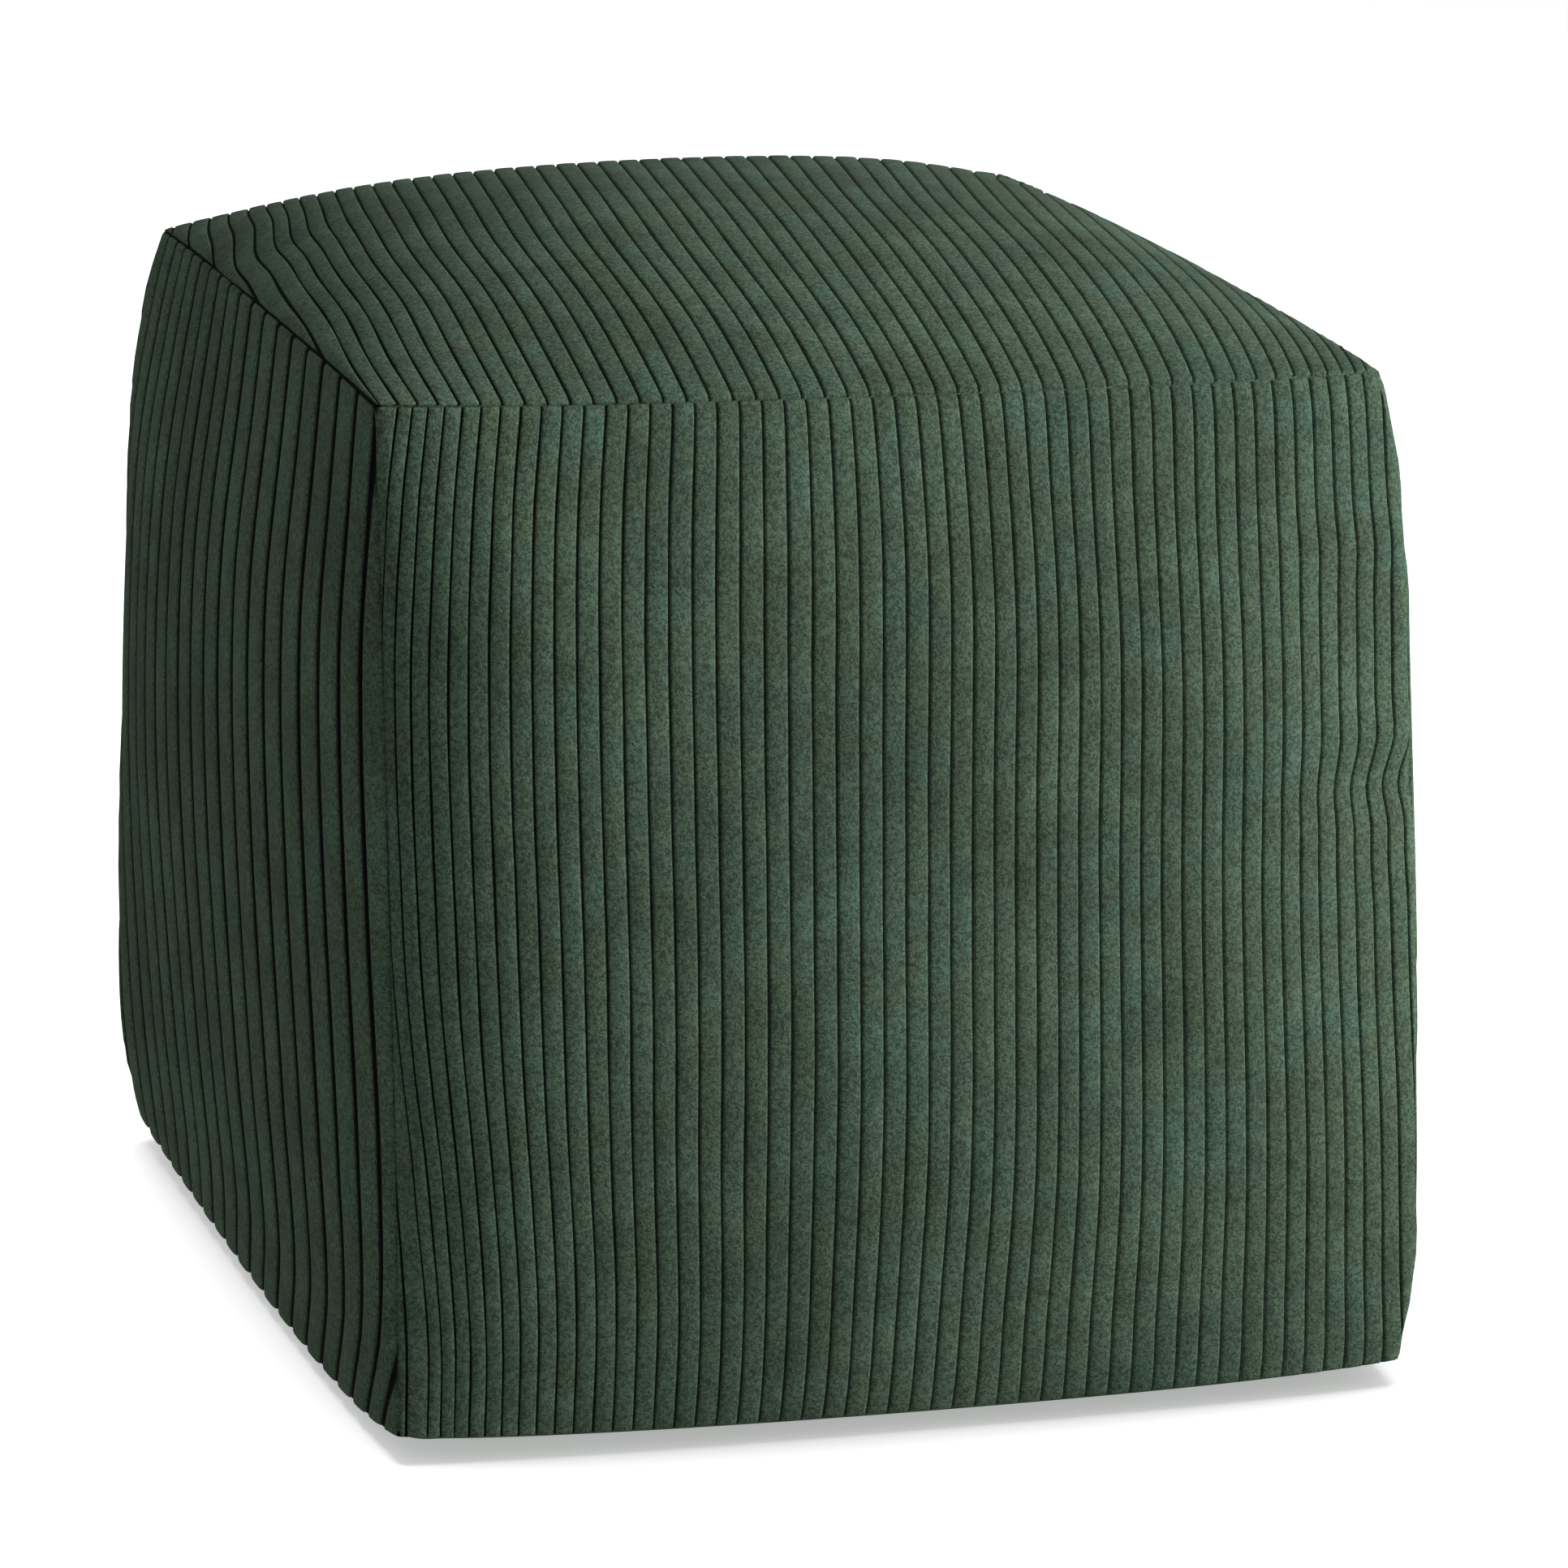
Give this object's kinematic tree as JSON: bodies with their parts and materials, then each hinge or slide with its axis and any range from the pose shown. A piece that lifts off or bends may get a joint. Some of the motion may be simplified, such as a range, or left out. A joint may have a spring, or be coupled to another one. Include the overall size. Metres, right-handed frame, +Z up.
{
  "type": "cube bean bag",
  "caption": "Cube bean bag in wide-wale corduroy: one filled, closed cushion of six sewn panels with bowed seams, crowned top and sides, and a flat resting base.",
  "frame": {"origin": "under the middle of the bag, on the surface that it rests on", "axes": "+Z up, out of the crowned top; the front panel faces -Y, the left panel faces -X"},
  "size_m": [0.4714, 0.4826, 0.4734],
  "materials": {
    "corduroy": "matte wide-wale corduroy with a short velvety nap, dark green"
  },
  "bodies": {
    "root": {"bean_bag": "corduroy"}
  },
  "joints": []
}
